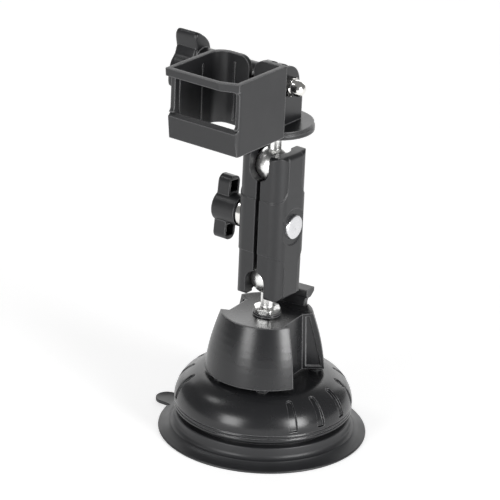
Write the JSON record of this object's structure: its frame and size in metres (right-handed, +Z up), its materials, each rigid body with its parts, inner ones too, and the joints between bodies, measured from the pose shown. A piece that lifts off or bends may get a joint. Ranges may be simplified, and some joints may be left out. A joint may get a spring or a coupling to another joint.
{
  "type": "suction cup camera mount",
  "caption": "Lever-locked suction base with a knob-clamped double ball arm, a pivoting three-prong adapter and a windowed clamping sleeve for a small camera.",
  "frame": {"origin": "centre of the rubber disc's underside, in the plane of the surface it grips", "axes": "+Z up through both balls with the arm upright; -Y towards the sleeve's window (front); -X towards the clamp knobs and the pull tab; +Y towards the lever"},
  "size_m": [0.1062, 0.1053, 0.1883],
  "materials": {
    "rubber": "matte",
    "base_plastic": "fine texture",
    "arm_plastic": "satin",
    "head_plastic": "satin",
    "plate_plastic": "matte",
    "chrome": "polished",
    "steel": "machined",
    "brass": "machined"
  },
  "bodies": {
    "base": {"suction_pad": "rubber", "base_dome": "base_plastic", "wear_plate": "steel", "tower": "base_plastic", "base_screws": "steel", "stud_insert": "brass"},
    "plunger": {"plunger_plate": "plate_plastic", "plunger_stem": "steel", "lever_pin": "steel"},
    "lever": {"cam_lever": "base_plastic"},
    "lower_stud": {"lower_ball_stud": "chrome"},
    "arm": {"arm_half_bolt_side": "arm_plastic", "clamp_bolt": "steel", "spreader_spring": "steel"},
    "grip": {"arm_half_knob_side": "arm_plastic", "clamp_collar": "chrome", "clamp_washer": "steel"},
    "arm_knob": {"clamp_knob": "arm_plastic", "knob_insert": "brass"},
    "upper_stud": {"upper_ball_stud": "chrome"},
    "head": {"adapter": "head_plastic", "adapter_insert": "brass", "acorn_nut": "chrome"},
    "head_knob": {"sleeve_knob": "head_plastic", "pivot_bolt": "steel", "pivot_washer": "steel"},
    "sleeve": {"camera_sleeve": "head_plastic"}
  },
  "joints": [
    {"name": "plunger_drop", "type": "slide", "parent": "base", "child": "plunger", "axis": [0, 0, 1], "range_m": [-0.0025, 0], "deforming": ["suction_pad"]},
    {"name": "lever_open", "type": "hinge", "parent": "plunger", "child": "lever", "pos_m": [0, 0, 0.042], "axis": [-0.9945, -0.1045, 0], "range_deg": [0, 55]},
    {"name": "lower_turn", "type": "hinge", "parent": "base", "child": "lower_stud", "pos_m": [0, 0, 0.0777], "axis": [0, 0, 1], "continuous": true},
    {"name": "arm_tilt", "type": "hinge", "parent": "lower_stud", "child": "arm", "pos_m": [0, 0, 0.0777], "axis": [1, 0, 0], "range_deg": [-45, 80]},
    {"name": "grip_release", "type": "slide", "parent": "arm", "child": "grip", "axis": [-1, 0, 0], "range_m": [0, 0.001]},
    {"name": "arm_knob_turn", "type": "hinge", "parent": "grip", "child": "arm_knob", "pos_m": [-0.02, 0, 0.1052], "axis": [-1, 0, 0], "range_deg": [0, 360]},
    {"name": "head_tilt", "type": "hinge", "parent": "arm", "child": "upper_stud", "pos_m": [0, 0, 0.1327], "axis": [-1, 0, 0], "range_deg": [-90, 90]},
    {"name": "head_turn", "type": "hinge", "parent": "upper_stud", "child": "head", "pos_m": [0, 0, 0.1505], "axis": [0, 0, 1], "continuous": true},
    {"name": "head_knob_turn", "type": "hinge", "parent": "head", "child": "head_knob", "pos_m": [0, 0, 0.1715], "axis": [-1, 0, 0], "continuous": true},
    {"name": "sleeve_tilt", "type": "hinge", "parent": "head", "child": "sleeve", "pos_m": [0, 0, 0.1715], "axis": [-1, 0, 0], "range_deg": [0, 90]}
  ],
  "couplings": [
    {"joint": "lever_open", "follows": "plunger_drop", "rad_per_m": -383.97},
    {"joint": "arm_knob_turn", "follows": "grip_release", "rad_per_m": 6283.2}
  ]
}
